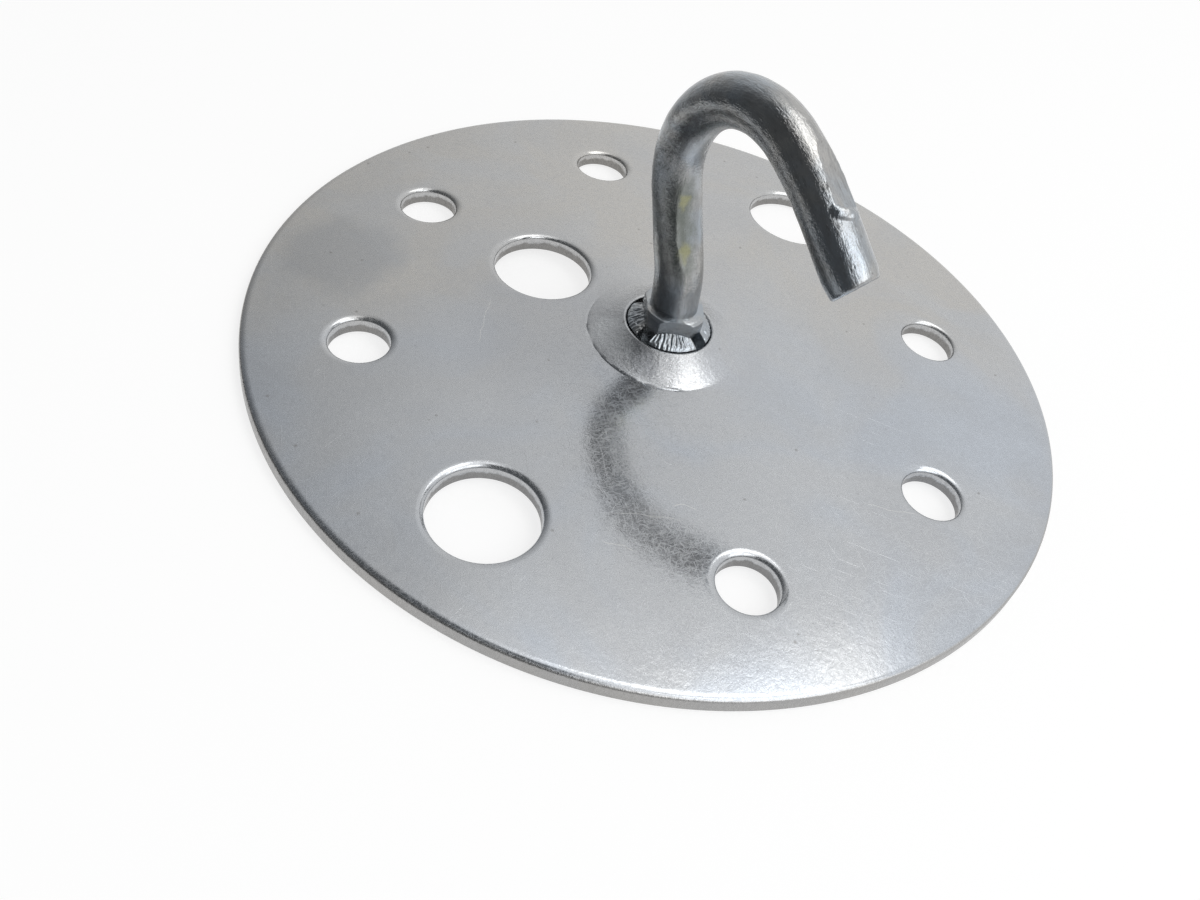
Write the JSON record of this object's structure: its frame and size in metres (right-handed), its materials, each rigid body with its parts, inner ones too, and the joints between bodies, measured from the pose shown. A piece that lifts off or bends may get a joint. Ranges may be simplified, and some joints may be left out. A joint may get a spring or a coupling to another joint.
{
  "type": "ceiling hook",
  "caption": "Round crowned sheet-steel ceiling plate with punched screw and cable holes and a bent rod hook staked through its raised middle.",
  "frame": {"origin": "middle of the plate's back, on the plane of the ceiling", "axes": "+Z out of the plate along the hook, +X to the side that the hook opens to"},
  "size_m": [0.087, 0.087, 0.0346],
  "materials": {
    "plate_steel": "satin zinc plating with fine scratches",
    "hook_steel": "bright zinc plating"
  },
  "bodies": {
    "root": {"mounting_plate": "plate_steel", "hook": "hook_steel"}
  },
  "joints": []
}
